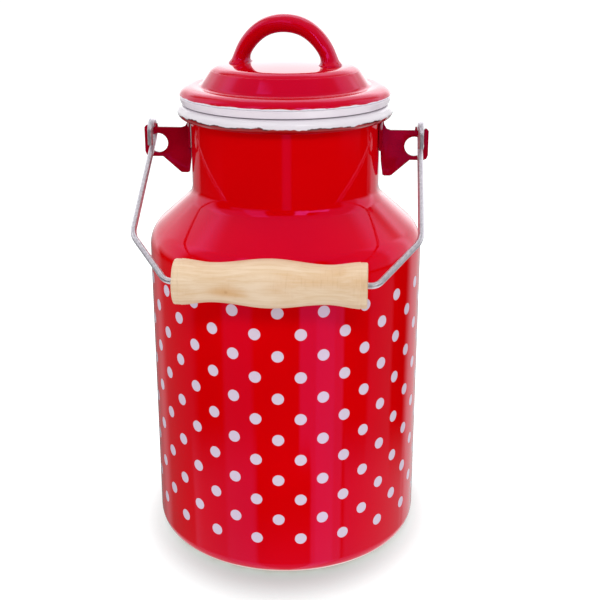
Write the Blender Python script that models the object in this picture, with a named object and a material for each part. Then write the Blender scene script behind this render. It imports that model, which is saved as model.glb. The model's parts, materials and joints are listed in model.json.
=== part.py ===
"""Two-litre enamelled milk can with a lift-off lid and a wire bail with a turned wooden grip.

Units are metres, +Z is up and the origin is the centre of the foot, on the surface the can
stands on. The ears lie along X and the bail hangs down in front, towards -Y. The driving
sizes below are in millimetres; shapes are worked out in millimetres and scaled once.
"""

import math

import bmesh
import bpy
from mathutils import Vector

MM = 0.001

# ---------------------------------------------------------------- driving dimensions (mm)
SHEET = 1.0             # enamelled steel sheet, coats included
GAP = 0.3               # clearance between two pieces that touch
STEPS = 48              # facets of a turned piece

BODY_R = 62.5           # outside of the wall: 125 mm across
FOOT_CORNER_R = 7.0     # round between wall and foot
SEAM_ANGLE = 50.0       # how far round that corner the bottom pan starts
FOOT_RING_R = 52.0      # inner edge of the flat ring round the bottom
GROOVE_WIDE = 6.5       # stiffening groove pressed into the bottom, inside that ring
GROOVE_HIGH = 1.2
WALL_TOP = 140.5        # where the cylinder ends and the shoulder starts

SHOULDER_R = 14.0       # round at the foot of the shoulder
THROAT_R = 8.0          # hollow round between shoulder and neck
THROAT_TOP = 168.5
NECK_R = 42.5           # outside of the neck: 85 mm across
NECK_TOP = 199.6

BEAD_R = 3.0            # rolled bead of the mouth
BEAD_CENTRE = (45.35, 202.3)

LID_SEAT = BEAD_CENTRE[1] + BEAD_R + GAP   # underside of the lid's flange
LID_EDGE = (47.4, 209.6)                   # lower edge of the red cover
LID_CREASE = (38.3, 213.3)
LID_TOP = 222.9
LID_TABLE_R = 27.5                         # flat table of the dome
PLUG_R = 40.4                              # ring that drops into the neck
PLUG_LENGTH = 15.0

HANDLE_HALF = 20.6      # half the span of the lid handle's centre line
HANDLE_TOP = 240.5      # height of that centre line
HANDLE_THICK = 7.0
HANDLE_WIDE = 11.6
HANDLE_TURN = -12.0     # degrees about Z, from the line of the ears

PIVOT_Z = 191.2         # the bail swings about a line along X at this height
EAR_THICK = 1.5
EAR_HOLE = (58.2, PIVOT_Z - 5.3, 4.4)      # x, z and radius
EAR_NOTCH_HALF = 1.55

WIRE_R = 1.3
EYE_R = 5.0             # centre line of the hook's eye
HOOK_X = 60.9
ELBOW_X = 60.5          # where the leg turns in towards the grip
ELBOW_BACK = 25.5       # how far that elbow is from the grip's axis, along the leg
GRIP_BEND_X = 42.6
GRIP_R = 10.0           # middle of the grip
GRIP_WAIST_R = 8.05
GRIP_END_R = 9.45
GRIP_HALF = 39.0
GRIP_Z = 144.2
GRIP_BORE_R = WIRE_R + 0.2


# ---------------------------------------------------------------- helpers
def linear(*srgb):
    """sRGB colour, 0 to 255, as the linear RGBA that a Principled BSDF takes."""
    share = [c / 255 for c in srgb]
    return [s / 12.92 if s <= 0.04045 else ((s + 0.055) / 1.055) ** 2.4 for s in share] + [1.0]


def material(name, srgb, roughness, metallic=0.0, coat=0.0):
    made = bpy.data.materials.new(name)
    made.use_nodes = True
    shader = made.node_tree.nodes["Principled BSDF"]
    shader.inputs["Base Color"].default_value = linear(*srgb)
    shader.inputs["Roughness"].default_value = roughness
    shader.inputs["Metallic"].default_value = metallic
    shader.inputs["Coat Weight"].default_value = coat
    made.diffuse_color = linear(*srgb)
    return made


def arc(centre, radius, start, end, count):
    """Points on an arc in the profile plane, angles in degrees from the +r axis."""
    turn = [math.radians(start + (end - start) * i / count) for i in range(count + 1)]
    return [(centre[0] + radius * math.cos(a), centre[1] + radius * math.sin(a)) for a in turn]


def inner_side(outer, thickness):
    """The line one sheet thickness inside an outer line that runs down at +r."""
    line = []
    for i, (r, z) in enumerate(outer):
        before, after = outer[max(i - 1, 0)], outer[min(i + 1, len(outer) - 1)]
        sides = [Vector((r - before[0], z - before[1])), Vector((after[0] - r, after[1] - z))]
        sides = [s.normalized() for s in sides if s.length > 1e-6]
        along = sum(sides, Vector((0.0, 0.0))).normalized()
        stretch = thickness / max(along.dot(sides[0]), 0.5)
        line.append((max(r + along.y * stretch, 0.0), z - along.x * stretch))
    return line


def sheet(outer, thickness=SHEET):
    """Closed outline of a sheet: down its outer side and back up its inner side."""
    return outer + inner_side(outer, thickness)[::-1]


def add_object(name, mesh, look, parent=None, location=(0, 0, 0)):
    piece = bpy.data.objects.new(name, mesh)
    bpy.context.collection.objects.link(piece)
    mesh.materials.append(look)
    piece.parent = parent
    piece.location = Vector(location) * MM
    return piece


def turned(name, profile, look, parent=None, location=(0, 0, 0), ring=True, steps=STEPS):
    """A piece turned about its local Z from (radius, height) points.

    ring=True closes the outline; otherwise its two ends lie on the axis.
    """
    base = Vector((0.0, 0.0, location[2]))
    mesh = bpy.data.meshes.new(name)
    bm = bmesh.new()
    points = [bm.verts.new(((Vector((r, 0, z)) - base) * MM)) for r, z in profile]
    for first, second in zip(points, points[1:]):
        bm.edges.new((first, second))
    if ring:
        bm.edges.new((points[-1], points[0]))
    bm.to_mesh(mesh)
    bm.free()
    piece = add_object(name, mesh, look, parent, Vector(location) - parent_at(parent))
    screw = piece.modifiers.new("turn", "SCREW")
    screw.axis = "Z"
    screw.angle = math.tau
    screw.steps = screw.render_steps = steps
    screw.use_merge_vertices = True
    screw.merge_threshold = 0.00001
    screw.use_smooth_shade = True
    return piece


def parent_at(parent):
    return parent.location / MM if parent else Vector((0, 0, 0))


def tube_mesh(name, rings, closed_ends=True):
    """A skin over rings of points (mm), each ring counter-clockwise seen from the next one."""
    mesh = bpy.data.meshes.new(name)
    bm = bmesh.new()
    made = [[bm.verts.new(Vector(p) * MM) for p in ring] for ring in rings]
    count = len(made[0])
    for low, high in zip(made, made[1:]):
        for i in range(count):
            j = (i + 1) % count
            bm.faces.new((low[i], low[j], high[j], high[i]))
    if closed_ends:
        bm.faces.new(made[0][::-1])
        bm.faces.new(made[-1])
    bmesh.ops.recalc_face_normals(bm, faces=bm.faces)
    bm.to_mesh(mesh)
    bm.free()
    mesh.shade_smooth()
    mesh.set_sharp_from_angle(angle=math.radians(35))
    return mesh


def round_rings(path, radius, sides):
    """Rings of a round wire along a path, with a frame carried along it so it never twists."""
    path = [Vector(p) for p in path]
    side = None
    rings = []
    for i, point in enumerate(path):
        along = (path[min(i + 1, len(path) - 1)] - path[max(i - 1, 0)]).normalized()
        if side is None:
            side = along.orthogonal().normalized()
        side = (side - along * side.dot(along)).normalized()
        other = along.cross(side)
        rings.append([
            point + radius * (math.cos(a) * side + math.sin(a) * other)
            for a in (math.tau * k / sides for k in range(sides))
        ])
    return rings


def filleted(corner_points, radii, count):
    """A path through straight runs whose inner corners are rounded by arcs."""
    points = [Vector(p) for p in corner_points]
    path = [points[0]]
    for i in range(1, len(points) - 1):
        here = points[i]
        back = (points[i - 1] - here).normalized()
        on = (points[i + 1] - here).normalized()
        half = back.angle(on) / 2
        reach = radii[i - 1] / math.tan(half)
        centre = here + (back + on).normalized() * (radii[i - 1] / math.sin(half))
        start = here + back * reach - centre
        end = here + on * reach - centre
        sweep = start.angle(end)
        for k in range(count + 1):
            share = k / count
            first = math.sin((1 - share) * sweep) / math.sin(sweep)
            second = math.sin(share * sweep) / math.sin(sweep)
            path.append(centre + start * first + end * second)
    path.append(points[-1])
    return path


# ---------------------------------------------------------------- clear the scene
for leftover in list(bpy.data.objects):
    bpy.data.objects.remove(leftover, do_unlink=True)

RED = material("red_enamel", (205, 8, 26), 0.12, coat=0.6)
DARK_RED = material("ear_red_enamel", (150, 4, 26), 0.16, coat=0.4)
WHITE = material("white_enamel", (228, 228, 234), 0.15, coat=0.6)
CREAM = material("foot_enamel", (236, 222, 206), 0.3)
STEEL = material("galvanised_wire", (188, 188, 196), 0.35, metallic=0.9)
BEECH = material("beech", (231, 203, 163), 0.6)


# ---------------------------------------------------------------- body
corner = (BODY_R - FOOT_CORNER_R, FOOT_CORNER_R)
wall = [(BODY_R, WALL_TOP), (BODY_R, FOOT_CORNER_R)] + arc(corner, FOOT_CORNER_R, 0, -SEAM_ANGLE, 4)[1:]
turned("body_wall", sheet(wall), RED)

seam_gap = math.degrees(GAP / FOOT_CORNER_R)
pan = arc(corner, FOOT_CORNER_R, -SEAM_ANGLE - seam_gap, -90, 3)
groove = [(0.0, 0.0), (1.5, GROOVE_HIGH), (GROOVE_WIDE - 1.5, GROOVE_HIGH), (GROOVE_WIDE, 0.0)]
pan += [(FOOT_RING_R - inward, z) for inward, z in groove] + [(0.0, 0.0)]
pan_top = inner_side(pan, SHEET)
turned("bottom_pan", pan_top[::-1] + pan, CREAM, ring=False)

# The shoulder is a straight slope that runs into a hollow round above and a full round below.
full = Vector((BODY_R - SHOULDER_R, WALL_TOP + GAP))
hollow = Vector((NECK_R + THROAT_R, THROAT_TOP))
between = hollow - full
lean = math.degrees(math.atan2(between.y, between.x) - math.acos((SHOULDER_R + THROAT_R) / between.length))
shoulder = arc(hollow, THROAT_R, 180, 180 + lean, 5)
shoulder += arc(full, SHOULDER_R, lean, 0, 6)
turned("shoulder", sheet(shoulder), RED)
turned("neck", sheet([(NECK_R, NECK_TOP), (NECK_R, THROAT_TOP + GAP)]), RED)

# The bead is the sheet's edge rolled outwards over a stiffening wire, so it is solid right through.
bead = arc(BEAD_CENTRE, BEAD_R, 80, -110, 9)
mouth_r = NECK_R - SHEET
bead += [(NECK_R + 0.1, NECK_TOP + GAP), (mouth_r, NECK_TOP + GAP)]
bead += [(mouth_r, BEAD_CENTRE[1] + 0.9), (mouth_r + 0.7, BEAD_CENTRE[1] + 2.3), (mouth_r + 2.0, BEAD_CENTRE[1] + BEAD_R)]
turned("mouth_bead", bead, WHITE)


# ---------------------------------------------------------------- ears
def ear(name, side):
    """A folded steel ear: a plate in the XZ plane with a hole and a notch, on a curved foot."""
    x_hole, z_hole, r_hole = EAR_HOLE
    left, right = HOOK_X - EAR_NOTCH_HALF, HOOK_X + EAR_NOTCH_HALF
    # Heights here are above and below the pivot line.
    outline = [
        (43.3, 6.8), (44.1, 6.8), (44.6, 4.4), (45.7, 2.6), (47.4, 2.0),
        (left - 1.1, 2.0), (left - 0.9, 3.6), (left - 0.1, 3.6), (left, 1.9),
        (right, 1.9), (right + 0.2, 2.8), (right + 1.2, 2.8), (64.5, 1.7),
        (64.5, -9.3), (63.8, -11.0), (62.2, -11.6), (56.3, -11.6), (48.3, -18.7),
        (47.6, -19.0), (45.0, -19.0), (44.2, -18.6), (43.3, -12.2), (43.1, -7.2),
    ]
    bm = bmesh.new()
    rim = [bm.verts.new(Vector((side * x, -EAR_THICK / 2, PIVOT_Z + z)) * MM) for x, z in outline]
    face = bm.faces.new(rim)
    grown = bmesh.ops.extrude_face_region(bm, geom=[face])
    moved = [v for v in grown["geom"] if isinstance(v, bmesh.types.BMVert)]
    bmesh.ops.translate(bm, verts=moved, vec=(0, EAR_THICK * MM, 0))
    bmesh.ops.recalc_face_normals(bm, faces=bm.faces)
    mesh = bpy.data.meshes.new(name)
    bm.to_mesh(mesh)
    bm.free()
    plate = add_object(name, mesh, DARK_RED)

    # The hole.
    drill_mesh = bpy.data.meshes.new(name + "_drill")
    bm = bmesh.new()
    bmesh.ops.create_cone(
        bm, cap_ends=True, segments=24, radius1=r_hole * MM, radius2=r_hole * MM, depth=0.01
    )
    bm.to_mesh(drill_mesh)
    bm.free()
    drill = bpy.data.objects.new(name + "_drill", drill_mesh)
    bpy.context.collection.objects.link(drill)
    drill.location = Vector((side * x_hole, 0, z_hole)) * MM
    drill.rotation_euler = (math.pi / 2, 0, 0)
    cut = plate.modifiers.new("hole", "BOOLEAN")
    cut.operation = "DIFFERENCE"
    cut.solver = "EXACT"
    cut.object = drill

    # The foot: a patch that follows the neck, welded to it.
    inner, outer, half = NECK_R + GAP, NECK_R + GAP + 1.2, math.radians(10.5)
    low, high = PIVOT_Z - 6.7, PIVOT_Z + 6.9
    rings = []
    for i in range(7):
        turn = half * (i / 3 - 1)
        c, s = math.cos(turn), math.sin(turn)
        thin = 1.0 if abs(i - 3) < 3 else 0.45
        out = inner + (outer - inner) * thin
        drop = 0.0 if abs(i - 3) < 3 else 2.0
        rings.append([
            (side * inner * c, inner * s, low + drop), (side * out * c, out * s, low + drop),
            (side * out * c, out * s, high - drop), (side * inner * c, inner * s, high - drop),
        ])
    foot = bpy.data.objects.new(name + "_foot", tube_mesh(name + "_foot", rings))
    bpy.context.collection.objects.link(foot)
    weld = plate.modifiers.new("foot", "BOOLEAN")
    weld.operation = "UNION"
    weld.solver = "EXACT"
    weld.object = foot
    for helper in (drill, foot):
        helper.hide_render = True
        helper.display_type = "WIRE"
    return plate


ear("ear_left", -1)
ear("ear_right", 1)


# ---------------------------------------------------------------- bail
# Everything on the bail is worked out about its pivot line, in (y, z), then carried along X.
pivot = bpy.data.objects.new("bail_pivot", None)
bpy.context.collection.objects.link(pivot)
pivot.location = Vector((0, 0, PIVOT_Z)) * MM

GRIP_Y = -(BODY_R + GRIP_R + 0.25)
to_grip = Vector((GRIP_Y, GRIP_Z - PIVOT_Z))
leg_length = math.sqrt(to_grip.length ** 2 - EYE_R ** 2)
sag = math.asin(EYE_R / to_grip.length)
heading = math.atan2(to_grip.y, to_grip.x) - sag          # direction of the leg, pivot to grip
if heading < -math.pi:
    heading += math.tau
leg = Vector((math.cos(heading), math.sin(heading)))
off = Vector((-leg.y, leg.x))                             # from the pivot to the leg, square to it


def on_bail(x, along, across=EYE_R):
    """Point at x, a distance along the leg and off the pivot line, relative to the pivot."""
    flat = leg * along + off * across
    return Vector((x, flat.x, flat.y))


straight = filleted(
    [
        on_bail(0, leg_length), on_bail(GRIP_BEND_X, leg_length),
        on_bail(ELBOW_X, leg_length - ELBOW_BACK), on_bail(HOOK_X, 0.0),
    ],
    [5.0, 13.0], 5,
)
# The eye goes on from the leg's end, behind the ear, over its top edge and down in front.
start = math.atan2(off.y, off.x)
finish = math.pi
eye = [
    Vector((HOOK_X, EYE_R * math.cos(a), EYE_R * math.sin(a)))
    for a in (start + (finish - start) * k / 13 for k in range(1, 14))
]
tail = [Vector((HOOK_X, -EYE_R, -5.5))]
half_path = straight + eye + tail
mirrored = [Vector((-p.x, p.y, p.z)) for p in half_path[1:]][::-1]
wire_path = mirrored + half_path[1:]
add_object("bail_wire", tube_mesh("bail_wire", round_rings(wire_path, WIRE_R, 10)), STEEL, pivot)


def grip_radius(x):
    """Turned outline: a belly in the middle, a waist either side and fuller ends."""
    x = abs(x)
    waist = 23.3
    if x <= waist:
        blend = 0.5 + 0.5 * math.cos(math.pi * x / waist)
        return GRIP_WAIST_R + (GRIP_R - GRIP_WAIST_R) * blend
    blend = 0.5 - 0.5 * math.cos(math.pi * min((x - waist) / (GRIP_HALF - 1.5 - waist), 1))
    return GRIP_WAIST_R + (GRIP_END_R - GRIP_WAIST_R) * blend


stations = [GRIP_HALF - 1.5 - (2 * GRIP_HALF - 3.0) * k / 18 for k in range(19)]
grip_profile = [(GRIP_BORE_R, GRIP_HALF), (GRIP_END_R - 3.0, GRIP_HALF), (GRIP_END_R - 0.9, GRIP_HALF - 0.35)]
grip_profile += [(grip_radius(x), x) for x in stations]
grip_profile += [(GRIP_END_R - 0.9, -GRIP_HALF + 0.35), (GRIP_END_R - 3.0, -GRIP_HALF), (GRIP_BORE_R, -GRIP_HALF)]
grip = turned("bail_grip", grip_profile, BEECH, steps=28)
grip.parent = pivot
grip.location = Vector((0, GRIP_Y, GRIP_Z - PIVOT_Z)) * MM
grip.rotation_euler = (0, math.pi / 2, 0)


# ---------------------------------------------------------------- lid
lid = bpy.data.objects.new("lid_seat", None)
bpy.context.collection.objects.link(lid)
lid.location = Vector((0, 0, LID_SEAT)) * MM
seat = (0, 0, LID_SEAT)

# Cover: a table, a rounded step down to a crease, and a brim that turns over at its edge.
table_edge = (LID_TABLE_R, LID_TOP - 0.9)
cover = [(0.0, LID_TOP), (LID_TABLE_R * 0.55, LID_TOP - 0.3), table_edge]
cover += arc((table_edge[0] + 0.6, table_edge[1] - 7.0), 7.0, 76, 40, 4)[1:]
cover += [(LID_CREASE[0] - 2.1, LID_CREASE[1] + 2.3), (LID_CREASE[0] - 1.0, LID_CREASE[1] + 0.7), LID_CREASE]
cover += [(39.8, LID_CREASE[1] + 0.1)]
brim_centre = (41.2, LID_EDGE[1] - 0.6)
brim_wide, brim_high = LID_EDGE[0] - brim_centre[0], LID_CREASE[1] + 0.1 - brim_centre[1]
for k in range(7):
    a = math.radians(90 - 84 * k / 6)
    cover.append((brim_centre[0] + brim_wide * math.cos(a), brim_centre[1] + brim_high * math.sin(a)))
under = inner_side(cover, SHEET)
under[0] = (0.0, LID_TOP - SHEET)
under[-1] = (cover[-1][0] - SHEET, cover[-1][1])   # the brim ends in a level edge
turned("lid_cover", cover + under[::-1], RED, lid, seat, ring=False)

# Liner: the white ring that curls up under the brim, sits on the bead and drops into the neck.
liner = [
    (45.3, LID_EDGE[1] + 1.0), (45.4, LID_EDGE[1] - 0.45), (47.3, LID_EDGE[1] - 0.45),
    (47.1, LID_EDGE[1] - 1.3), (46.5, LID_SEAT + 0.35), (45.7, LID_SEAT), (PLUG_R + 1.6, LID_SEAT),
    (PLUG_R + 0.4, LID_SEAT - 0.5), (PLUG_R, LID_SEAT - 1.7), (PLUG_R, LID_SEAT - PLUG_LENGTH + 1.5),
    (PLUG_R - 0.7, LID_SEAT - PLUG_LENGTH), (PLUG_R - 1.3, LID_SEAT - PLUG_LENGTH + 0.4),
    (PLUG_R - 1.3, LID_SEAT + 0.6), (PLUG_R + 0.4, LID_SEAT + 1.5), (43.9, LID_SEAT + 1.5),
    (44.5, LID_EDGE[1] + 1.0),
]
turned("lid_liner", liner, WHITE, lid, seat)

# Handle: an oval bar bent to an arch, spread at both feet where it is welded on.
foot_z = LID_TOP - 0.25 + GAP
base_z = foot_z - 1.0
rise = HANDLE_TOP - base_z
rings = []
arch_count = 20
lowest = math.asin((foot_z - base_z) / rise)
for k in range(arch_count + 1):
    a = lowest + (math.pi - 2 * lowest) * k / arch_count
    point = Vector((HANDLE_HALF * math.cos(a), 0, base_z + rise * math.sin(a)))
    along = Vector((-HANDLE_HALF * math.sin(a), 0, rise * math.cos(a))).normalized()
    if k in (0, arch_count):
        along = Vector((0, 0, 1 if k == 0 else -1))
    across = Vector((along.z, 0, -along.x))
    height = point.z - foot_z
    spread = 1 + 0.35 * max(0.0, 1 - height / 4.5) ** 2
    ring = []
    for j in range(14):
        b = math.tau * j / 14
        ring.append(point + across * (HANDLE_THICK / 2 * spread * math.cos(b))
                    + Vector((0, HANDLE_WIDE / 2 * spread * math.sin(b), 0)))
    rings.append([p - Vector(seat) for p in ring])
handle = add_object("lid_handle", tube_mesh("lid_handle", rings), RED, lid)
handle.rotation_euler = (0, 0, math.radians(HANDLE_TURN))
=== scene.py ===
# %% [markdown]
# # A two-litre milk can in enamelled steel
# The can is a steel vessel dipped in glass enamel, with a loose lid, two welded ears and a wire bail
# that carries a turned wooden grip. This lesson builds what the eye sees around a finished CAD
# model. The CAD stays the authority on size and motion, so every piece takes its place from it.

# %% Load the fixed frame
import json
import math

import bpy
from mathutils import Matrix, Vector

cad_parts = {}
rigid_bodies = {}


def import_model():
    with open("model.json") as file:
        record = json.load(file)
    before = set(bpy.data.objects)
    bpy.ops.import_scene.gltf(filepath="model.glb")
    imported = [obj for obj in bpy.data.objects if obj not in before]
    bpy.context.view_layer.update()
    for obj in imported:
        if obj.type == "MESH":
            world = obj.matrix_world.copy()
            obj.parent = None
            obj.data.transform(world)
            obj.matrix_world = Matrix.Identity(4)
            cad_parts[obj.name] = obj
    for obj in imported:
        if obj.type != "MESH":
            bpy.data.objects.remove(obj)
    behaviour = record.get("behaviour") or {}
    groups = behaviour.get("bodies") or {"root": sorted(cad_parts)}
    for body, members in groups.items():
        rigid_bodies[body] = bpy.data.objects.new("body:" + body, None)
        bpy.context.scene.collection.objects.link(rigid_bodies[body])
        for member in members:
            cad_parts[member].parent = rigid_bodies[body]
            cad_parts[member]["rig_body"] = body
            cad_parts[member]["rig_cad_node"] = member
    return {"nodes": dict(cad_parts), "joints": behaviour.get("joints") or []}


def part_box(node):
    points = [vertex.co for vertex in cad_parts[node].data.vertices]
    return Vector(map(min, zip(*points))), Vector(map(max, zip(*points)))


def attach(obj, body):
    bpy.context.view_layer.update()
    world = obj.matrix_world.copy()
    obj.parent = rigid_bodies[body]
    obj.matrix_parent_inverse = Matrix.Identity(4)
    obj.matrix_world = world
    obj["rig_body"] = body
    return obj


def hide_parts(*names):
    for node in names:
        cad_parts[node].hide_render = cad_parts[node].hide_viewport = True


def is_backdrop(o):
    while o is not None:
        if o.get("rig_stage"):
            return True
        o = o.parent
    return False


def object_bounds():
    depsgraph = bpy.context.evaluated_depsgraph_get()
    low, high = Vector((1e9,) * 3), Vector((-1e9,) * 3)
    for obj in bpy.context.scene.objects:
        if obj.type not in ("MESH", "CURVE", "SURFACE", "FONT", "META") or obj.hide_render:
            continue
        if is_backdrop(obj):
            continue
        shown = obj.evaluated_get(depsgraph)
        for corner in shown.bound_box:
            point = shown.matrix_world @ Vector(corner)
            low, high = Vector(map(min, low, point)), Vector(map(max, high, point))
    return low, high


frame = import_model()
cad_low, cad_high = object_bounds()
print("CAD box, mm:", [round(1000 * side) for side in cad_high - cad_low])

# %% [markdown]
# ## Sizes
# Blender works in metres here. The outer sizes are read from the boxes of the CAD nodes, and the
# rounds between them, which a box can't show, are named once in millimetres.

# %% Sizes shared by several pieces
MM = 0.001
AROUND = 192                      # corners in a full turn, enough for a smooth outline

wall_low, wall_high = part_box("body_wall")
neck_low, neck_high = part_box("neck")
bead_low, bead_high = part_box("mouth_bead")
WALL_R = wall_high.x
NECK_R = neck_high.x
SHEET = 1.0 * MM                  # enamelled sheet, coats included
SEAM = 0.15 * MM                  # half the gap that the CAD leaves between welded pieces
print("wall radius", round(WALL_R / MM, 2), "neck radius", round(NECK_R / MM, 2))

# %% [markdown]
# ## Camera
# A portrait lens half a metre away, looking down a little. The lens is shifted instead of tilted
# further, which keeps the can's sides from leaning, as a product photographer does it.

# %% Camera
bpy.ops.object.camera_add(
    location=(0.04035, -0.47042, 0.28389),
    rotation=(math.radians(72.2286), 0.0, math.radians(4.1210)),
)
camera = bpy.context.object
camera.name = "camera"
camera.data.lens = 63.307
camera.data.sensor_width = 36.0
camera.data.shift_x = 0.000646
camera.data.shift_y = -0.073488
camera.data.clip_start = 0.01
bpy.context.scene.camera = camera
bpy.context.scene.view_settings.view_transform = "Standard"
print("camera height, mm:", round(camera.location.z / MM))

# %% [markdown]
# ## Building node trees in code
# Every material below is a small graph. These helpers add a node, fill its inputs with numbers or
# with links, and return what the next node needs, so that a graph reads like a formula.


# %% Node helpers
def add_node(tree, kind, values=None, **settings):
    """Adds a shader node. values maps an input's name or number to a number or to a link."""
    node = tree.nodes.new("ShaderNode" + kind)
    for name, value in settings.items():
        setattr(node, name, value)
    for key, value in (values or {}).items():
        if isinstance(value, bpy.types.NodeSocket):
            tree.links.new(value, node.inputs[key])
        else:
            node.inputs[key].default_value = value
    return node


def calc(tree, operation, *values):
    """One Math node, as its output."""
    return add_node(tree, "Math", dict(enumerate(values)), operation=operation).outputs[0]


def ramp(tree, value, low, high, start=0.0, end=1.0):
    """value between low and high, carried smoothly to between start and end."""
    inputs = {"Value": value, 1: low, 2: high, 3: start, 4: end}
    return add_node(tree, "MapRange", inputs, interpolation_type="SMOOTHSTEP").outputs[0]


def blend_colour(tree, share, first, second):
    """The first colour where share is 0, and the second where it is 1."""
    inputs = {0: share, 6: first, 7: second}
    return add_node(tree, "Mix", inputs, data_type="RGBA").outputs[2]


def noise(tree, scale, detail=2.0, roughness=0.5, vector=None):
    """Soft random values, scale of them to the metre, on Object coordinates or another vector."""
    if vector is None:
        vector = add_node(tree, "TexCoord").outputs["Object"]
    inputs = {"Vector": vector, "Scale": scale, "Detail": detail, "Roughness": roughness}
    return add_node(tree, "TexNoise", inputs).outputs["Fac"]


def colour(*srgb):
    """An sRGB colour, 0 to 255, as the linear colour that a socket holds."""
    share = [c / 255 for c in srgb]
    return [c / 12.92 if c <= 0.04045 else ((c + 0.055) / 1.055) ** 2.4 for c in share] + [1.0]


def new_group(name, inputs, outputs):
    """A shader node group with number inputs {name: default} and outputs {name: socket type}."""
    tree = bpy.data.node_groups.new(name, "ShaderNodeTree")
    for label, default in inputs.items():
        socket = tree.interface.new_socket(label, in_out="INPUT", socket_type="NodeSocketFloat")
        socket.default_value = default
    for label, kind in outputs.items():
        tree.interface.new_socket(label, in_out="OUTPUT", socket_type=kind)
    return tree, tree.nodes.new("NodeGroupInput").outputs, tree.nodes.new("NodeGroupOutput")


def use_group(tree, name, values=None):
    """Places a group in a tree with its own values, and returns its outputs."""
    node = tree.nodes.new("ShaderNodeGroup")
    node.node_tree = bpy.data.node_groups[name]
    for key, value in (values or {}).items():
        if isinstance(value, bpy.types.NodeSocket):
            tree.links.new(value, node.inputs[key])
        else:
            node.inputs[key].default_value = value
    return node.outputs


# %% [markdown]
# ## Studio
# Gloss enamel shows its surroundings more than its own colour, so the studio matters as much as the
# paint. The can stands in a white tent that is open towards the camera. The open front leaves the
# middle of the can deep red, and the tent's walls lay pale bands down its sides. The walls are
# painted on the world by direction, each one a soft-edged panel between two bearings and two
# heights. Bearing 0 points from the can to the front, and positive bearings turn to the right. The
# panels are only seen in reflections, and each was placed for the pale band that it lays on the can.

# %% One soft panel of the tent, as a group
tree, given, result = new_group(
    "tent_panel",
    {"Bearing": 0, "Height": 0, "Middle": 0, "Half width": 20, "Bottom": -90, "Top": 90,
     "Edge": 3, "Light": 1},
    {"Light": "NodeSocketFloat"},
)
turned = calc(tree, "SUBTRACT", given["Bearing"], given["Middle"])
away = calc(tree, "ABSOLUTE", calc(tree, "WRAP", turned, 180.0, -180.0))
past_side = calc(tree, "SUBTRACT", away, given["Half width"])
past_bottom = calc(tree, "SUBTRACT", given["Bottom"], given["Height"])
past_top = calc(tree, "SUBTRACT", given["Height"], given["Top"])
outside = calc(tree, "MAXIMUM", past_side, calc(tree, "MAXIMUM", past_bottom, past_top))
share = calc(tree, "DIVIDE", outside, given["Edge"])
inside = ramp(tree, share, -1.0, 1.0, 1.0, 0.0)
tree.links.new(calc(tree, "MULTIPLY", inside, given["Light"]), result.inputs["Light"])

# %% The tent
# Each row is middle bearing, half width, bottom, top, softness of the edge, light.
TENT = [
    (0, 200, 50, 95, 5, 0.50),       # white ceiling
    (180, 38, 22, 62, 8, 1.55),      # lamp above and behind
    (180, 52, -9, 25, 7, 1.20),      # white sheet behind
    (180, 24, -9, 30, 8, 0.90),
    (-35, 13, 22, 56, 2.5, 1.15),    # softbox to the left of the camera
    (25, 8, 21, 46, 1.5, 2.90),      # softbox to its right, and its lower wing
    (46, 14, 21, 31, 1.5, 2.40),
    (-40, 24, 14, 22, 3, 0.40),
    (-78, 30, 27, 50, 6, 0.55),      # left wall, brighter towards the back
    (-110, 20, -3, 50, 7, 1.05),
    (75, 27, 20, 50, 6, 0.42),       # right wall
    (90, 14, -9, 20, 4, 0.42),
    (117, 16, -5, 48, 6, 1.15),
    (6, 5, -15, 15, 2, 0.30),        # gap between the two front flaps
    (40, 14, -89, -16, 1.5, 0.72),   # white card on the table
    (21, 5, -29, -16, 1.5, 0.72),
    (38, 8, -89, -20, 1.2, 0.32),
    (-37, 13, -89, -16, 3, 0.26),    # table, seen low on the can
    (-54, 32, -89, -29, 2.5, 0.36),
    (-110, 30, -89, -16, 6, 0.17),
    (-143, 17, -89, -10, 6, 0.26),
    (95, 38, -89, -29, 2.5, 0.46),
    (93, 14, -29, -16, 3, 0.24),
    (152, 18, -89, -12, 7, 0.80),
    (0, 200, -95, -37, 5, 0.55),     # floor close to the foot
]
world = bpy.data.worlds.new("studio")
world.use_nodes = True
bpy.context.scene.world = world
tree = world.node_tree
tree.nodes.clear()
outlook = add_node(tree, "TexCoord").outputs["Generated"]
direction = add_node(tree, "SeparateXYZ", {0: outlook}).outputs
front = calc(tree, "MULTIPLY", direction[1], -1.0)
bearing = calc(tree, "DEGREES", calc(tree, "ARCTAN2", direction[0], front))
height = calc(tree, "DEGREES", calc(tree, "ARCSINE", direction[2]))
seen = 0.0
for middle, half, bottom, top, edge, light in TENT:
    panel = use_group(tree, "tent_panel", {
        "Bearing": bearing, "Height": height, "Middle": middle, "Half width": half,
        "Bottom": bottom, "Top": top, "Edge": edge, "Light": light,
    })
    seen = calc(tree, "ADD", panel[0], seen)
# Matt surfaces are lit evenly by the tent as a whole, and the camera sees plain white.
rays = add_node(tree, "LightPath").outputs
FILL_ABOVE, FILL_BELOW = 0.45, 0.95       # the pale table throws back more than the tent does
fill = ramp(tree, direction[2], -0.2, 0.2, FILL_BELOW, FILL_ABOVE)
evenly = calc(tree, "MULTIPLY", rays["Is Diffuse Ray"], fill)
mirrored = calc(tree, "MULTIPLY", rays["Is Glossy Ray"], seen)
strength = calc(tree, "ADD", calc(tree, "ADD", evenly, mirrored), rays["Is Camera Ray"])
background = add_node(tree, "Background", {"Color": (1, 1, 1, 1), "Strength": strength})
add_node(tree, "OutputWorld", {0: background.outputs[0]})
print("panels in the tent:", len(TENT))

# %% [markdown]
# ## Softboxes
# The tent gives reflections and an even fill, which leaves matt surfaces flat. Four area lamps add
# the direction: one high in front, one at either side and a wide one overhead.


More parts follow.
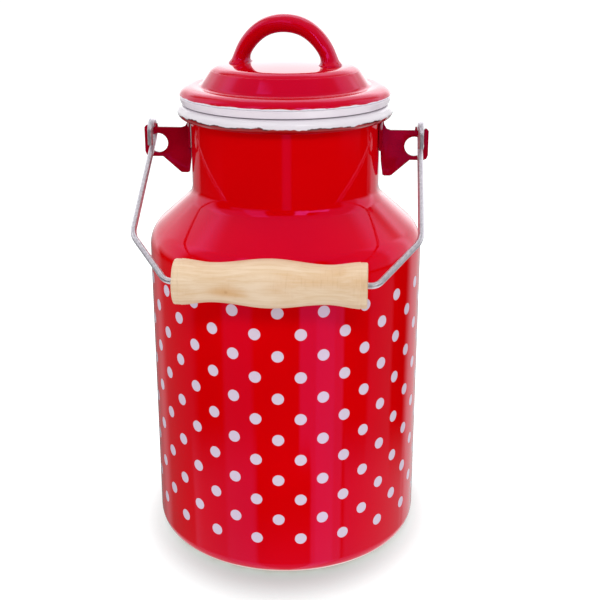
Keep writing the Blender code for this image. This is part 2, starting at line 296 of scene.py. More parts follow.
# %% Softboxes
def softbox(name, place, aim, width, height, watts):
    """A rectangular area lamp at place, turned to face aim."""
    bpy.ops.object.light_add(type="AREA", location=place)
    lamp = bpy.context.object
    lamp.name = name
    lamp.data.shape = "RECTANGLE"
    lamp.data.size, lamp.data.size_y = width, height
    lamp.data.energy = watts
    lamp.rotation_euler = (Vector(aim) - Vector(place)).to_track_quat("-Z", "Y").to_euler()
    lamp.visible_camera = False
    lamp.visible_glossy = False   # the tent already shows the softboxes in the enamel
    return lamp


CAN_MIDDLE = (0, 0, 0.12)
softbox("key", (0.04, -1.10, 0.95), CAN_MIDDLE, 0.62, 0.22, 5.2)
softbox("right_fill", (1.0, -0.55, 0.45), CAN_MIDDLE, 0.7, 0.9, 2.0)
softbox("left_fill", (-1.0, -0.60, 0.40), CAN_MIDDLE, 0.7, 0.9, 1.5)
softbox("overhead", (0.0, 0.15, 1.2), (0, 0, 0.1), 0.9, 0.9, 6.0)

# %% [markdown]
# ## Floor
# A wide sheet of white paper. It glows, so that it runs into the white background without a line,
# and it glows less close to the can, which deepens the lamps' own soft shadow there. That is a
# choice of looks and not of physics, and it belongs to the floor alone.

# %% Floor
PAPER = (0.49, 0.57, 0.57, 1)         # a little blue, against the red that the can throws on it
SHADOW_SHAPE = (1.2, 1.0, 1.0)        # narrower at the can's sides than in front
SHADOW_INNER, SHADOW_OUTER = 50 * MM, 102 * MM
GLOW_INNER, GLOW_OUTER = 0.05, 0.85
bpy.ops.mesh.primitive_plane_add(size=60.0, location=(0, 0, 0))
floor = bpy.context.object
floor.name = "floor"
floor.visible_glossy = False      # the tent's own lower panels stand in for it in reflections
floor.visible_diffuse = False     # and the tent's even light stands in for its glow
paper = bpy.data.materials.new("white_paper")
paper.use_nodes = True
shader = paper.node_tree.nodes["Principled BSDF"]
shader.inputs["Base Color"].default_value = PAPER
tree = paper.node_tree
place = add_node(tree, "TexCoord").outputs["Object"]
oval = add_node(tree, "Mapping", {"Vector": place, "Scale": SHADOW_SHAPE}).outputs["Vector"]
distance = add_node(tree, "VectorMath", {0: oval}, operation="LENGTH").outputs["Value"]
glow = ramp(tree, distance, SHADOW_INNER, SHADOW_OUTER, GLOW_INNER, GLOW_OUTER)
tree.links.new(glow, shader.inputs["Emission Color"])
shader.inputs["Emission Strength"].default_value = 1.0
shader.inputs["Roughness"].default_value = 0.9
shader.inputs["Specular IOR Level"].default_value = 0.0
floor.data.materials.append(paper)
floor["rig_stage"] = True

# %% [markdown]
# ## Finishes: effects that several of them share
# Fired enamel is glass: it is never quite flat. Long ripples come from the steel underneath and
# bend the reflections, and a fine orange peel comes from the firing. One group makes both as a
# normal, and red, white and cream enamel use it with their own depths.

# %% Ripple of fired enamel
tree, given, result = new_group(
    "enamel_ripple",
    {"Ripple depth": 0.00008, "Peel depth": 0.000002, "Relief": 0.0},
    {"Normal": "NodeSocketVector"},
)
ripple = calc(tree, "MULTIPLY", noise(tree, 22.0, 1.0), given["Ripple depth"])
peel = calc(tree, "MULTIPLY", noise(tree, 420.0, 2.0), given["Peel depth"])
total = calc(tree, "ADD", calc(tree, "ADD", ripple, peel), given["Relief"])
bump = add_node(tree, "Bump", {"Height": total, "Distance": 1.0, "Strength": 1.0})
tree.links.new(bump.outputs["Normal"], result.inputs["Normal"])

# %% [markdown]
# Where two coats of enamel meet, the line is torn a little, and the ground coat shows through it as
# a dark thread. The second group gives the share of the upper coat at each height, and that thread.

# %% Torn line between two coats
tree, given, result = new_group(
    "torn_line",
    {"Level": 0.2, "Tear": 0.001, "Softness": 0.00012, "Thread": 0.0002},
    {"Above": "NodeSocketFloat", "Thread": "NodeSocketFloat"},
)
place = add_node(tree, "TexCoord").outputs["Object"]
height = add_node(tree, "SeparateXYZ", {0: place}).outputs[2]
tear = calc(tree, "SUBTRACT", noise(tree, 140.0, 7.0, 0.64, place), 0.5)
height = calc(tree, "ADD", height, calc(tree, "MULTIPLY", tear, given["Tear"]))
past = calc(tree, "SUBTRACT", height, given["Level"])
share = calc(tree, "DIVIDE", past, given["Softness"])
tree.links.new(ramp(tree, share, -1.0, 1.0), result.inputs["Above"])
near = calc(tree, "DIVIDE", calc(tree, "ABSOLUTE", past), given["Thread"])
patches = ramp(tree, noise(tree, 95.0, 2.0, 0.5, place), 0.42, 0.5)
thread = calc(tree, "MULTIPLY", ramp(tree, near, 0.3, 1.0, 1.0, 0.0), patches)
tree.links.new(thread, result.inputs["Thread"])

# %% [markdown]
# The dots are stencilled on the wall in twelve rows of twenty, and every other row is turned by
# half a step. Rolled flat, the wall is a sheet of paper: across it runs the angle round the can,
# and up it the height. Rounding both to the nearest dot gives the distance to that dot's middle.

# %% Stencilled dots
ROWS, COLUMNS = 12, 20
ROW_STEP = 9.774 * MM
TOP_ROW = 127.5 * MM
FIRST_COLUMN = 1.5                # degrees from the front to the right
DOT_R = 2.62 * MM

tree, given, result = new_group("stencilled_dots", {}, {"Dot": "NodeSocketFloat"})
place = add_node(tree, "TexCoord").outputs["Object"]
x, y, z = add_node(tree, "SeparateXYZ", {0: place}).outputs
angle = calc(tree, "DEGREES", calc(tree, "ARCTAN2", x, calc(tree, "MULTIPLY", y, -1.0)))
row = calc(tree, "ROUND", calc(tree, "DIVIDE", calc(tree, "SUBTRACT", TOP_ROW, z), ROW_STEP))
row = calc(tree, "MINIMUM", calc(tree, "MAXIMUM", row, 0.0), ROWS - 1.0)
odd = calc(tree, "FLOORED_MODULO", row, 2.0)
step = 360.0 / COLUMNS
start = calc(tree, "ADD", calc(tree, "MULTIPLY", odd, step / 2), FIRST_COLUMN)
turns = calc(tree, "DIVIDE", calc(tree, "SUBTRACT", angle, start), step)
off_column = calc(tree, "SUBTRACT", turns, calc(tree, "ROUND", turns))
across = calc(tree, "MULTIPLY", off_column, math.radians(step) * WALL_R)
row_z = calc(tree, "SUBTRACT", TOP_ROW, calc(tree, "MULTIPLY", row, ROW_STEP))
up = calc(tree, "SUBTRACT", z, row_z)
distance = calc(tree, "SQRT", calc(tree, "ADD", calc(tree, "MULTIPLY", across, across),
                                   calc(tree, "MULTIPLY", up, up)))
uneven = calc(tree, "MULTIPLY", calc(tree, "SUBTRACT", noise(tree, 330.0, 2.0), 0.5), 0.25 * MM)
distance = calc(tree, "ADD", distance, uneven)
dot = ramp(tree, distance, DOT_R - 0.1 * MM, DOT_R + 0.1 * MM, 1.0, 0.0)
tree.links.new(dot, result.inputs["Dot"])


# %% [markdown]
# ## Finishes
# Each finish is one Principled shader. Numbers that are the same all over are set on its sockets,
# and only what varies over the surface is linked.


# %% A new finish
def new_finish(name, values):
    """A material with its Principled shader's plain values set, as (material, tree, shader)."""
    finish = bpy.data.materials.new(name)
    finish.use_nodes = True
    shader = finish.node_tree.nodes["Principled BSDF"]
    for key, value in values.items():
        shader.inputs[key].default_value = value
    return finish, finish.node_tree, shader


def rippled(tree, shader, values=None):
    """Bends a finish's reflections with the ripple of fired enamel."""
    normal = use_group(tree, "enamel_ripple", values)["Normal"]
    tree.links.new(normal, shader.inputs["Normal"])


# Real enamel mirrors white light without colour. The tint on red is a choice of looks and not of
# physics: it keeps the bands that the tent lays on the can a full rose instead of a pale pink.
WHITE = colour(226, 226, 232)
GLOSS_RED = {"Roughness": 0.05, "IOR": 1.5, "Specular Tint": (0.8, 0.12, 1.0, 1.0)}
GLOSS_WHITE = {"Roughness": 0.08, "IOR": 1.5}

# %% [markdown]
# ### Red enamel with dots
# The vessel's red coat varies a little in depth. The dots are a second coat that stands just proud
# of it, and at the foot the red thins until the cream ground coat shows.

# %% Red enamel with dots, for the vessel
red_dotted, tree, shader = new_finish("red_enamel_dotted", GLOSS_RED)
dot = use_group(tree, "stencilled_dots")["Dot"]
cloud = ramp(tree, noise(tree, 14.0, 2.0), 0.3, 0.7)
ground = blend_colour(tree, cloud, colour(207, 0, 2), colour(218, 0, 4))
paint = blend_colour(tree, cloud, colour(214, 199, 218), colour(221, 207, 225))
enamel = blend_colour(tree, dot, ground, paint)
thin = {"Level": 3.0 * MM, "Tear": 0.7 * MM, "Softness": 0.8 * MM}
covered = use_group(tree, "torn_line", thin)["Above"]
enamel = blend_colour(tree, covered, colour(246, 226, 214), enamel)
tree.links.new(enamel, shader.inputs["Base Color"])
relief = calc(tree, "MULTIPLY", dot, 0.00002)
rippled(tree, shader, {"Relief": relief})

# %% [markdown]
# ### Plain red enamel
# The red of the lid and its handle is a shade deeper than the can's. It ends in a torn line on the
# brim's edge, over the white.

# %% Plain red enamel, for the lid and its handle
red_plain, tree, shader = new_finish("red_enamel", GLOSS_RED)
cloud = ramp(tree, noise(tree, 26.0, 2.0), 0.3, 0.7)
ground = blend_colour(tree, cloud, colour(184, 0, 10), colour(194, 0, 14))
rippled(tree, shader, {"Ripple depth": 0.00005})
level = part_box("lid_cover")[0].z + 0.35 * MM
torn = use_group(tree, "torn_line", {"Level": level, "Tear": 0.0016})
tree.links.new(blend_colour(tree, torn["Above"], WHITE, ground), shader.inputs["Base Color"])

# %% [markdown]
# ### The ears' enamel
# On the thicker ears the red is the same enamel, painted darker as shade. It pulls away from their
# stamped edges, where the dark ground coat shows, and that dark edge also paints shade on the
# rounds.

# %% Red enamel painted darker as shade, and its dark edge of ground coat and painted shade, for the ears
red_shaded, tree, shader = new_finish("red_enamel_painted_shade", GLOSS_RED)
cloud = ramp(tree, noise(tree, 60.0, 3.0), 0.3, 0.7)
# The same red as the can's, made darker: painted shade.
ground = blend_colour(tree, cloud, colour(138, 0, 20), colour(160, 2, 30))
tree.links.new(ground, shader.inputs["Base Color"])
rippled(tree, shader, {"Ripple depth": 0.0001})

edge_coat_and_shade, tree, shader = new_finish("ground_coat_and_painted_shade_edge", {"Roughness": 0.2})
# Dark ground coat where the enamel pulls away, which also paints shade along the rounded edges.
worn = ramp(tree, noise(tree, 300.0, 4.0), 0.35, 0.7)
ground = blend_colour(tree, worn, colour(66, 10, 24), colour(96, 8, 26))
tree.links.new(ground, shader.inputs["Base Color"])
rippled(tree, shader)

# %% [markdown]
# ### White enamel
# The inside, the lid's liner and the bead are white. On the bead's underside the white ends in a
# torn line over a red darkened as painted shade, with the dark ground coat as a thread along it.

# %% White enamel, for the inside, the lid's liner and the bead
white_plain, tree, shader = new_finish("white_enamel", GLOSS_WHITE)
cloud = ramp(tree, noise(tree, 40.0, 3.0), 0.3, 0.7)
ground = blend_colour(tree, cloud, colour(227, 217, 226), colour(235, 227, 235))
tree.links.new(ground, shader.inputs["Base Color"])
rippled(tree, shader)

white_bead, tree, shader = new_finish("white_enamel_on_red", GLOSS_WHITE)
WHITE_ENDS = 201.7 * MM
torn = use_group(tree, "torn_line", {"Level": WHITE_ENDS, "Tear": 4 * MM, "Thread": 0.4 * MM})
# Below the torn line the red is darker than the can's: painted shade under the bead.
ground = blend_colour(tree, torn["Above"], colour(150, 0, 6), colour(227, 221, 228))
ground = blend_colour(tree, torn["Thread"], ground, colour(70, 14, 18))
tree.links.new(ground, shader.inputs["Base Color"])
rippled(tree, shader)

# %% [markdown]
# ### Cream ground coat
# The foot keeps only its first coat, which is duller than the others and a little blotched.

# %% Cream ground coat, for the foot
cream, tree, shader = new_finish("cream_ground_coat", {"Roughness": 0.3})
cloud = ramp(tree, noise(tree, 120.0, 4.0), 0.3, 0.75)
ground = blend_colour(tree, cloud, colour(240, 226, 210), colour(214, 186, 160))
tree.links.new(ground, shader.inputs["Base Color"])
rippled(tree, shader, {"Peel depth": 0.00001})

# %% [markdown]
# ### Galvanised wire
# Zinc is dull and pale, with fine crystals that vary its colour and its gloss.

# %% Galvanised wire
zinc, tree, shader = new_finish("galvanised_wire", {"Metallic": 0.8})
spangle = noise(tree, 900.0, 3.0)
crystals = ramp(tree, spangle, 0.35, 0.65)
ground = blend_colour(tree, crystals, colour(206, 201, 210), colour(226, 221, 229))
tree.links.new(ground, shader.inputs["Base Color"])
tree.links.new(ramp(tree, spangle, 0.3, 0.7, 0.3, 0.4), shader.inputs["Roughness"])
pits = calc(tree, "MULTIPLY", noise(tree, 900.0, 2.0), 0.000008)
bump = add_node(tree, "Bump", {"Height": pits, "Distance": 1.0, "Strength": 0.6})
tree.links.new(bump.outputs["Normal"], shader.inputs["Normal"])

# %% [markdown]
# ### Turned beech
# The board was cut along the trunk, so its growth rings run along the grip as long streaks. Noise
# that is stretched along the grip gives the streaks, and the same noise stretched across it gives
# the short ticks that a lathe leaves.

# %% Turned beech
beech, tree, shader = new_finish("turned_beech", {"Roughness": 0.55, "Specular IOR Level": 0.3})
grip_low, grip_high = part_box("bail_grip")
grip_middle = (grip_low + grip_high) / 2
place = add_node(tree, "TexCoord").outputs["Object"]
to_middle = (0, -grip_middle.y, -grip_middle.z)
centred = add_node(tree, "Mapping", {"Vector": place, "Location": to_middle}).outputs[0]
lengthwise = add_node(tree, "Mapping", {"Vector": centred, "Scale": (0.03, 1.0, 1.0)}).outputs[0]
patchy = add_node(tree, "Mapping", {"Vector": centred, "Scale": (0.35, 1.0, 1.0)}).outputs[0]
crosswise = add_node(tree, "Mapping", {"Vector": centred, "Scale": (1.0, 0.12, 0.12)}).outputs[0]
streak = ramp(tree, noise(tree, 900.0, 4.0, 0.6, lengthwise), 0.3, 0.75)
patch = ramp(tree, noise(tree, 95.0, 3.0, 0.55, patchy), 0.42, 0.72)
tick = ramp(tree, noise(tree, 1300.0, 2.0, 0.5, crosswise), 0.52, 0.7)
ground = blend_colour(tree, streak, colour(229, 205, 178), colour(218, 188, 152))
ground = blend_colour(tree, calc(tree, "MULTIPLY", patch, 0.55), ground, colour(209, 166, 118))
tick_share = calc(tree, "MULTIPLY", calc(tree, "MULTIPLY", tick, patch), 0.2)
ground = blend_colour(tree, tick_share, ground, colour(176, 132, 90))
# A small knot sits in the front, left of the middle, with the grain stained round it.
KNOT = (-17.0 * MM, -9.0 * MM, -1.4 * MM)
from_knot = add_node(tree, "VectorMath", {0: centred, 1: KNOT}, operation="SUBTRACT").outputs[0]
drawn = add_node(tree, "Mapping", {"Vector": from_knot, "Scale": (0.4, 1.0, 1.0)}).outputs[0]
stain = add_node(tree, "VectorMath", {0: drawn}, operation="LENGTH").outputs["Value"]
stain = calc(tree, "MULTIPLY", ramp(tree, stain, 0.3 * MM, 4.5 * MM, 1.0, 0.0), 0.55)
ground = blend_colour(tree, stain, ground, colour(205, 152, 92))
heart = add_node(tree, "VectorMath", {0: from_knot}, operation="LENGTH").outputs["Value"]
heart = calc(tree, "MULTIPLY", ramp(tree, heart, 0.3 * MM, 1.3 * MM, 1.0, 0.0), 0.6)
ground = blend_colour(tree, heart, ground, colour(170, 112, 58))
tree.links.new(ground, shader.inputs["Base Color"])
fibre = calc(tree, "MULTIPLY", noise(tree, 1800.0, 3.0, 0.6, lengthwise), 0.000012)
bump = add_node(tree, "Bump", {"Height": fibre, "Distance": 1.0, "Strength": 0.5})
tree.links.new(bump.outputs["Normal"], shader.inputs["Normal"])
print("finishes:", [m.name for m in bpy.data.materials if m.use_nodes][-9:])

# %% [markdown]
# ## Turned pieces
# Everything on the can but the ears and the bail is round. A spun sheet starts as a disc that a
# roller presses up over a form, and the same can be done here: a circle's edge is drawn out ring by
# ring along a profile. The Spin or Screw tool would give the same skin from a profile line. Drawing
# the edge out needs no separate line and leaves the rings in order.


# %% Profiles
def arc(middle, radius, start, end, count):
    """(radius, height) points on an arc, angles in degrees from straight outwards."""
    turns = [math.radians(start + (end - start) * k / count) for k in range(count + 1)]
    return [(middle[0] + radius * math.cos(t), middle[1] + radius * math.sin(t)) for t in turns]


def flowing(points, between=5):
    """A smooth line through a few (radius, height) points, by Catmull and Rom's rule."""
    line = []
    for k in range(len(points) - 1):
        a, b, c, d = (Vector(points[min(max(k + n, 0), len(points) - 1)]) for n in (-1, 0, 1, 2))
        for step in range(between):
            t = step / between
            bend, twist = 2 * a - 5 * b + 4 * c - d, 3 * b - a - 3 * c + d
            line.append(tuple((2 * b + (c - a) * t + bend * t ** 2 + twist * t ** 3) / 2))
    return line + [tuple(points[-1])]


def scaled(points):
    """The same points in metres, from millimetres."""
    return [(r * MM, z * MM) for r, z in points]


# %% Drawing out a skin
def select_only(piece):
    """Makes one object the selected and the active one."""
    bpy.ops.object.select_all(action="DESELECT")
    piece.select_set(True)
    bpy.context.view_layer.objects.active = piece


def merge_and_leave(threshold):
    """From edit mode: merges doubled points, points the faces outwards, and leaves edit mode."""
    bpy.ops.mesh.select_all(action="SELECT")
    bpy.ops.mesh.remove_doubles(threshold=threshold)
    bpy.ops.mesh.normals_make_consistent(inside=False)
    bpy.ops.object.mode_set(mode="OBJECT")


def draw_out(name, outline, around=AROUND):
    """A skin drawn out from a circle along (radius, height) points. A last radius of 0 closes it."""
    bpy.ops.object.select_all(action="DESELECT")
    bpy.ops.mesh.primitive_circle_add(vertices=around, radius=outline[0][0])
    piece = bpy.context.object
    piece.name = piece.data.name = name
    bpy.ops.object.mode_set(mode="EDIT")
    bpy.ops.transform.translate(value=(0, 0, outline[0][1]))
    for (r, z), (next_r, next_z) in zip(outline, outline[1:]):
        bpy.ops.mesh.extrude_region_move(TRANSFORM_OT_translate={"value": (0, 0, next_z - z)})
        if next_r > 0:
            grown = (next_r / r, next_r / r, 1)
            bpy.ops.transform.resize(value=grown, center_override=(0, 0, next_z))
        else:
            bpy.ops.mesh.merge(type="CENTER")
    merge_and_leave(0.001 * MM)
    return piece


def face_outwards(piece, outward):
    """Turns a skin's normals round if its first face doesn't look along outward(its middle)."""
    face = piece.data.polygons[0]
    if face.normal.dot(outward(face.center)) < 0:
        piece.data.flip_normals()


def thicken(piece, inner_finish):
    """Gives a skin the sheet's thickness on its inner side, which takes the second finish."""
    piece.data.materials.append(inner_finish)
    solid = piece.modifiers.new("sheet", "SOLIDIFY")
    solid.thickness = SHEET
    solid.offset = -1.0
    solid.use_even_offset = True
    solid.material_offset = 1
    bpy.context.view_layer.objects.active = piece
    bpy.ops.object.modifier_apply(modifier=solid.name)


def smooth(piece, degrees=40):
    """Smooth shading over everything flatter than the given angle."""
    select_only(piece)
    bpy.ops.object.shade_smooth_by_angle(angle=math.radians(degrees))


def settle(piece, body, slot, *nodes):
    """Puts a finished piece on its body, in place of the CAD nodes that it stands for."""
    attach(piece, body)
    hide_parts(*nodes)
    piece.data.calc_loop_triangles()
    print(piece.name, "triangles:", len(piece.data.loop_triangles))


# %% [markdown]
# ## Vessel
# Wall, shoulder and neck were pressed and welded, then dipped as one, so the enamel runs over all
# three without a seam. The skin starts under the round of the foot, where the red coat ends.

# %% Vessel
FOOT_ROUND = 7.0 * MM
COAT_ENDS = 50.0                  # degrees round the foot's corner
SHOULDER_ROUND, THROAT_ROUND = 14.0 * MM, 8.0 * MM
wall_top, throat_top = wall_high.z + 2 * SEAM, neck_low.z - 2 * SEAM

full = Vector((WALL_R - SHOULDER_ROUND, wall_top))
hollow = Vector((NECK_R + THROAT_ROUND, throat_top))
between = hollow - full
lean = math.degrees(
    math.atan2(between.y, between.x) - math.acos((SHOULDER_ROUND + THROAT_ROUND) / between.length)
)
outline = arc((WALL_R - FOOT_ROUND, FOOT_ROUND), FOOT_ROUND, -COAT_ENDS, 0, 12)
outline += arc(full, SHOULDER_ROUND, 0, lean, 20)
outline += arc(hollow, THROAT_ROUND, 180 + lean, 180, 16)
outline += [(NECK_R, neck_high.z + SEAM)]
vessel = draw_out("vessel", outline)
face_outwards(vessel, lambda middle: Vector((middle.x, middle.y, 0)))
vessel.data.materials.append(red_dotted)
thicken(vessel, white_plain)
smooth(vessel)
settle(vessel, "can", "red_enamel", "body_wall", "shoulder", "neck")

# %% [markdown]
# ## Foot
# The bottom is a separate pan. Its ground coat is left cream where the can stands, and shows as a
# thin pale line below the red.

# %% Foot
RING_R, GROOVE_WIDE, GROOVE_HIGH = 52.0, 6.5, 1.2
corner = (WALL_R / MM - 7.0, 7.0)
groove = [(0.0, 0.0), (1.5, GROOVE_HIGH), (GROOVE_WIDE - 1.5, GROOVE_HIGH), (GROOVE_WIDE, 0.0)]
outline = arc(corner, 7.0, -COAT_ENDS - 0.6, -90, 8)
outline += flowing([(RING_R - inward, z) for inward, z in groove], 6) + [(20.0, 0.0), (0.0, 0.0)]
foot = draw_out("foot_pan", scaled(outline))
face_outwards(foot, lambda middle: Vector((0, 0, -1)))
foot.data.materials.append(cream)
thicken(foot, white_plain)
smooth(foot)
settle(foot, "can", "foot_enamel", "bottom_pan")

# %% [markdown]
# ## Mouth
# The neck's edge is rolled outwards over a wire, which stiffens the mouth and gives the milk a round
# lip to run over. Its section is a closed ring.

# %% Mouth bead
BEAD_R = 3.0
bead_middle = (bead_high.x / MM - BEAD_R, bead_high.z / MM - BEAD_R)
mouth_r, neck_top = (NECK_R - SHEET) / MM, neck_high.z / MM + 0.15
outline = [(NECK_R / MM, neck_top), (NECK_R / MM + 0.35, neck_top - 0.25)]
outline += arc(bead_middle, BEAD_R, -115, 92, 26)
outline += [(mouth_r + 2.0, bead_middle[1] + 2.75), (mouth_r + 0.9, bead_middle[1] + 2.1)]
outline += [(mouth_r + 0.2, bead_middle[1] + 1.0), (mouth_r, neck_top), (NECK_R / MM, neck_top)]
bead = draw_out("mouth_roll", scaled(outline))
bead.data.materials.append(white_bead)
smooth(bead, 60)
settle(bead, "can", "white_enamel", "mouth_bead")

# %% [markdown]
# ## Lid
# A pressed cover with a flat table, a step down to a crease and a brim that turns over. The white
# liner curls up under the brim and drops into the neck as a ring.

# %% Lid cover
lid_low, lid_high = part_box("lid_cover")
TABLE_R, EDGE_R, CREASE_R = 27.5, lid_high.x / MM, 38.3
BRIM_R, BRIM_RISE = 41.2, 4.4      # middle of the brim's round, and its height
table_z, edge_z = lid_high.z / MM, lid_low.z / MM
crease_z = edge_z + 3.7
outline = [(EDGE_R - 0.9, edge_z - 0.15), (EDGE_R - 0.35, edge_z - 0.12)]
brim = []
for degrees in range(6, 91, 6):
    turn = math.radians(degrees)
    brim_r = BRIM_R + (EDGE_R - BRIM_R) * math.cos(turn)
    brim.append((brim_r, edge_z - 0.6 + BRIM_RISE * math.sin(turn)))
step_down = [(CREASE_R + 1.5, crease_z + 0.05), (CREASE_R, crease_z)]
step_down += [(CREASE_R - 1.0, crease_z + 0.7), (CREASE_R - 2.1, crease_z + 2.3)]
shoulder = arc((TABLE_R + 0.6, table_z - 7.9), 7.0, 40, 76, 6)
table = [(TABLE_R, table_z - 0.85), (TABLE_R * 0.55, table_z - 0.3)]
table += [(TABLE_R * 0.2, table_z - 0.05), (0.0, table_z)]
outline += brim[:-1] + flowing(brim[-1:] + step_down + shoulder + table, 4)
cover = draw_out("lid_cover_skin", scaled(outline))
face_outwards(cover, lambda middle: Vector((middle.x, middle.y, -0.01)))
cover.data.materials.append(red_plain)
thicken(cover, white_plain)
smooth(cover)
settle(cover, "lid", "red_enamel", "lid_cover")

# %% Lid liner
liner_low, liner_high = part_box("lid_liner")
seat = bead_high.z / MM + 0.3
PLUG_R = 40.4
plug_low = liner_low.z / MM
outline = [(45.3, edge_z + 0.8), (45.4, edge_z - 0.3)]
curl = [(46.9, edge_z - 0.28), (47.25, edge_z - 0.75), (47.1, edge_z - 1.6)]
outline += flowing(curl + [(46.5, seat + 0.45), (45.7, seat)], 5)
outline += flowing([(PLUG_R + 1.6, seat), (PLUG_R + 0.4, seat - 0.5), (PLUG_R, seat - 1.7)], 4)
plug_end = [(PLUG_R, plug_low + 1.5), (PLUG_R - 0.7, plug_low), (PLUG_R - 1.3, plug_low + 0.4)]
outline += flowing(plug_end, 4) + [(PLUG_R - 1.3, seat + 0.6), (PLUG_R + 0.4, seat + 1.5)]
outline += [(43.9, seat + 1.5), (44.5, edge_z + 0.8), (45.3, edge_z + 0.8)]
liner = draw_out("lid_liner_ring", scaled(outline))
liner.data.materials.append(white_plain)
smooth(liner)
settle(liner, "lid", "white_enamel", "lid_liner")

# %% [markdown]
# ## Lid handle
# A flattened bar bent to an arch and welded by both feet, with the enamel pooled round them. An oval
# face is spun through half a turn, eased to the arch's own height, and spread at its feet.

# %% Lid handle
HALF_SPAN, THICK, WIDE, TURN = 20.6 * MM, 7.0 * MM, 11.6 * MM, -12.0
handle_low, handle_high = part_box("lid_handle")
base_z = handle_low.z - 1.0 * MM
rise = handle_high.z - THICK / 2 - base_z
bpy.ops.object.select_all(action="DESELECT")
bpy.ops.mesh.primitive_circle_add(
    vertices=40, radius=0.5, fill_type="NGON", location=(HALF_SPAN, 0, base_z)
)
handle = bpy.context.object
handle.name = handle.data.name = "lid_handle_bar"
handle.scale = (THICK, WIDE, 1)
bpy.ops.object.transform_apply(location=True, scale=True)
bpy.ops.object.mode_set(mode="EDIT")
bpy.ops.mesh.spin(steps=110, angle=-math.pi, center=(0, 0, base_z), axis=(0, 1, 0))
bpy.ops.object.mode_set(mode="OBJECT")
lowest = min(v.co.z for v in handle.data.vertices)
upside_down = -1 if lowest < base_z - 5 * MM else 1
FLARE, FLARE_HIGH = 0.28, 5.0 * MM            # the feet widen towards the lid
POOL, POOL_HIGH = 0.22, 1.6 * MM              # and the enamel pools round them
STRAIGHTER, LENS, FULLER = 0.05, 0.25, 0.3    # legs drawn in, sharper front edge, fuller underside
for vertex in handle.data.vertices:
    x, z = vertex.co.x, (vertex.co.z - base_z) * upside_down
    turn = math.atan2(z, x)
    off = math.hypot(x, z) - HALF_SPAN
    pull = 1 - STRAIGHTER * math.sin(2 * turn) ** 2
    middle = Vector((HALF_SPAN * pull * math.cos(turn), 0, rise * math.sin(turn)))
    off *= abs(2 * off / THICK) ** LENS
    if off < 0:
        off *= 1 + FULLER * math.sin(turn) ** 2
    across = Vector((math.cos(turn) / HALF_SPAN, 0, math.sin(turn) / rise)).normalized()
    high = max(middle.z - 0.7 * MM, 0.0)
    spread = 1 + FLARE * max(0.0, 1 - high / FLARE_HIGH) ** 2
    spread += POOL * max(0.0, 1 - high / POOL_HIGH) ** 2
    vertex.co = middle + across * off * spread + Vector((0, vertex.co.y * spread, base_z))
handle.rotation_euler.z = math.radians(TURN)
bpy.ops.object.transform_apply(rotation=True)
bpy.ops.object.mode_set(mode="EDIT")
merge_and_leave(0.001 * MM)
handle.data.materials.append(red_plain)
smooth(handle, 60)
settle(handle, "lid", "red_enamel", "lid_handle")


# %% [markdown]
# ## Ears
# The ears are stamped from thicker sheet. Their outline is the CAD's own, so each is a copy of its
# node, with loose triangles merged, flat faces joined up and every sharp edge rounded as enamel
# rounds it. Modelling the outline again would only risk a difference.


# %% Ears
def rounded_copy(node, name, edge):
    """A copy of a CAD node with merged corners and rounded edges."""
    select_only(frame["nodes"][node])
    bpy.ops.object.duplicate()
    piece = bpy.context.object
    piece.name = piece.data.name = name
    piece.parent = None
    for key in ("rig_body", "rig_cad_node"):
        del piece[key]
    bpy.ops.object.mode_set(mode="EDIT")
    bpy.ops.mesh.select_all(action="SELECT")
    bpy.ops.mesh.remove_doubles(threshold=0.000005)
    bpy.ops.mesh.dissolve_limited(angle_limit=math.radians(2))
    bpy.ops.object.mode_set(mode="OBJECT")
    bevel = piece.modifiers.new("rounded", "BEVEL")
    bevel.width = edge
    bevel.segments = 4
    bevel.limit_method = "ANGLE"
    bevel.angle_limit = math.radians(28)
    bpy.ops.object.modifier_apply(modifier=bevel.name)
    piece.data.materials.clear()
    return piece


for side in ("left", "right"):
    ear = rounded_copy("ear_" + side, "ear_plate_" + side, 0.55 * MM)
    ear.data.materials.append(red_shaded)
    ear.data.materials.append(edge_coat_and_shade)
    # Edge faces take the dark ground coat, which also paints shade along the rounded edges.
    for face in ear.data.polygons:
        on_plate = abs(face.center.x) > NECK_R + 3 * MM
        on_edge = abs(face.normal.y) < 0.93
        face.material_index = int(on_plate and on_edge)
    smooth(ear, 35)
    settle(ear, "can", "ear_enamel", "ear_" + side)

# %% [markdown]
# ## Bail
# One length of galvanised wire: through the grip, out and up each side, and round in an eye that
# hooks the ear. A curve with a round bevel is the natural tool for wire, because its line can be
# bent point by point and its thickness stays true.

# %% The wire's line
WIRE_R, EYE_R, HOOK_X = 1.3, 5.0, 60.9
ELBOW_X, ELBOW_BACK, BEND_X = 60.5, 25.5, 42.6
swing = next(joint for joint in frame["joints"] if joint["name"] == "bail_swing")
pivot = Vector(swing["pos_m"]) / MM
to_grip = Vector((grip_middle.y / MM - pivot.y, grip_middle.z / MM - pivot.z))
leg_length = math.sqrt(to_grip.length ** 2 - EYE_R ** 2)
heading = math.atan2(to_grip.y, to_grip.x) - math.asin(EYE_R / to_grip.length)
leg = Vector((math.cos(heading), math.sin(heading)))
square = Vector((-leg.y, leg.x))


def on_bail(x, along, off=EYE_R):
    """A point x out from the middle, a distance down the leg, and off the pivot's line."""
    flat = leg * along + square * off
    return Vector((x, flat.x, flat.y))


def rounded_corner(before, here, after, radius, count):
    """Points on the arc that rounds one corner of the line."""
    back, on = (before - here).normalized(), (after - here).normalized()
    half = back.angle(on) / 2
    middle = here + (back + on).normalized() * (radius / math.sin(half))
    start = here + back * (radius / math.tan(half)) - middle
    end = here + on * (radius / math.tan(half)) - middle
    sweep = start.angle(end)
    return [
        middle + start * (math.sin((1 - k / count) * sweep) / math.sin(sweep))
        + end * (math.sin(k / count * sweep) / math.sin(sweep))
        for k in range(count + 1)
    ]


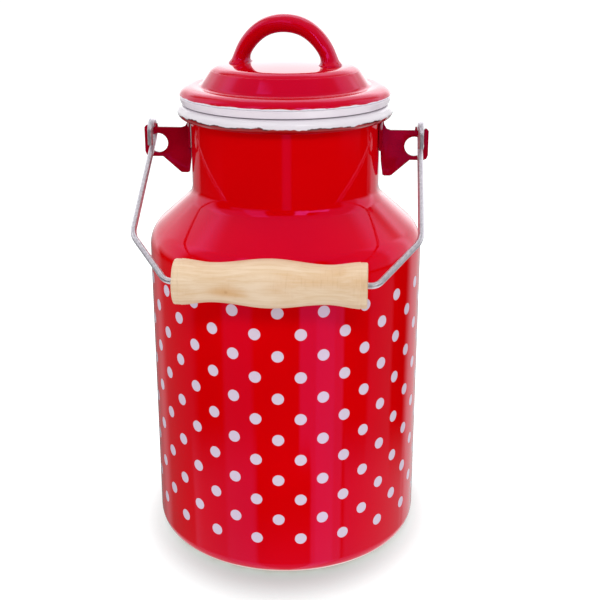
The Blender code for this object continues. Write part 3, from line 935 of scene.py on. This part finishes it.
corners = [on_bail(0, leg_length), on_bail(BEND_X, leg_length),
           on_bail(ELBOW_X, leg_length - ELBOW_BACK), on_bail(HOOK_X, 0.0)]
half_line = rounded_corner(*corners[0:3], 5.0, 10) + rounded_corner(*corners[1:4], 13.0, 12)
start_turn = math.atan2(square.y, square.x)
EYE_STEPS = 36
for k in range(EYE_STEPS + 1):
    turn = start_turn + (math.pi - start_turn) * k / EYE_STEPS
    half_line.append(Vector((HOOK_X, EYE_R * math.cos(turn), EYE_R * math.sin(turn))))
half_line.append(Vector((HOOK_X, -EYE_R, -5.5)))
mirror = [Vector((-p.x, p.y, p.z)) for p in reversed(half_line)]
line = [(p + pivot) * MM for p in mirror + half_line]

# %% Bail wire
curve = bpy.data.curves.new("bail_wire_line", "CURVE")
curve.dimensions = "3D"
curve.bevel_depth = WIRE_R * MM
curve.bevel_resolution = 6
curve.use_fill_caps = True
spline = curve.splines.new("POLY")
spline.points.add(len(line) - 1)
for point, place in zip(spline.points, line):
    point.co = (*place, 1.0)
wire = bpy.data.objects.new("bail_wire_rod", curve)
bpy.context.scene.collection.objects.link(wire)
select_only(wire)
bpy.ops.object.convert(target="MESH")
bpy.ops.object.mode_set(mode="EDIT")
merge_and_leave(0.01 * MM)
wire = bpy.context.object
wire.data.materials.append(zinc)
smooth(wire, 50)
settle(wire, "bail", "galvanised_wire", "bail_wire")

# %% [markdown]
# ## Grip
# Turned between centres on a lathe: a belly for the palm, a waist either side and fuller ends, with
# a hole bored right through for the wire. It is drawn out upright and then laid along the wire.

# %% Grip
BELLY_R, WAIST_R, END_R, WAIST_X = 10.0, 8.05, 9.45, 23.3
BORE_R = WIRE_R + 0.2
HALF = (grip_high.x - grip_low.x) / 2 / MM


def grip_radius(x):
    """The lathe's profile, at a distance x from the middle."""
    x = abs(x)
    if x <= WAIST_X:
        return WAIST_R + (BELLY_R - WAIST_R) * (0.5 + 0.5 * math.cos(math.pi * x / WAIST_X))
    share = min((x - WAIST_X) / (HALF - 1.5 - WAIST_X), 1.0)
    return WAIST_R + (END_R - WAIST_R) * (0.5 - 0.5 * math.cos(math.pi * share))


# The lathe leaves a narrow band at either end, where the edge was broken with a file.
band = END_R - 0.18
end = [(BORE_R, HALF - 0.4), (BORE_R + 0.4, HALF), (band - 2.8, HALF - 0.05)]
end += [(band - 0.6, HALF - 0.12), (band - 0.2, HALF - 0.3), (band, HALF - 0.7)]
end += [(band, HALF - 2.5), (band - 0.06, HALF - 2.7), (band, HALF - 2.9)]
SIDE_STEPS = 80
side_half = HALF - 3.1
side_x = [side_half * (1 - 2 * k / SIDE_STEPS) for k in range(SIDE_STEPS + 1)]
side = [(grip_radius(x), x) for x in side_x]
outline = end + side + [(r, -x) for r, x in reversed(end)] + [end[0]]
grip = draw_out("grip_turning", scaled(outline), around=96)
grip.rotation_euler.y = math.pi / 2
bpy.ops.object.transform_apply(rotation=True)
grip.location = grip_middle
bpy.ops.object.transform_apply(location=True)
grip.data.materials.append(beech)
smooth(grip, 35)
settle(grip, "grip", "beech", "bail_grip")

# %% [markdown]
# ## Check the size
# The lesson ends by comparing the finished pieces with the CAD's own box.

# %% Size of the finished pieces
new_low, new_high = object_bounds()
growth = (new_high - new_low) - (cad_high - cad_low)
print("grown by, mm:", [round(1000 * side, 2) for side in growth])
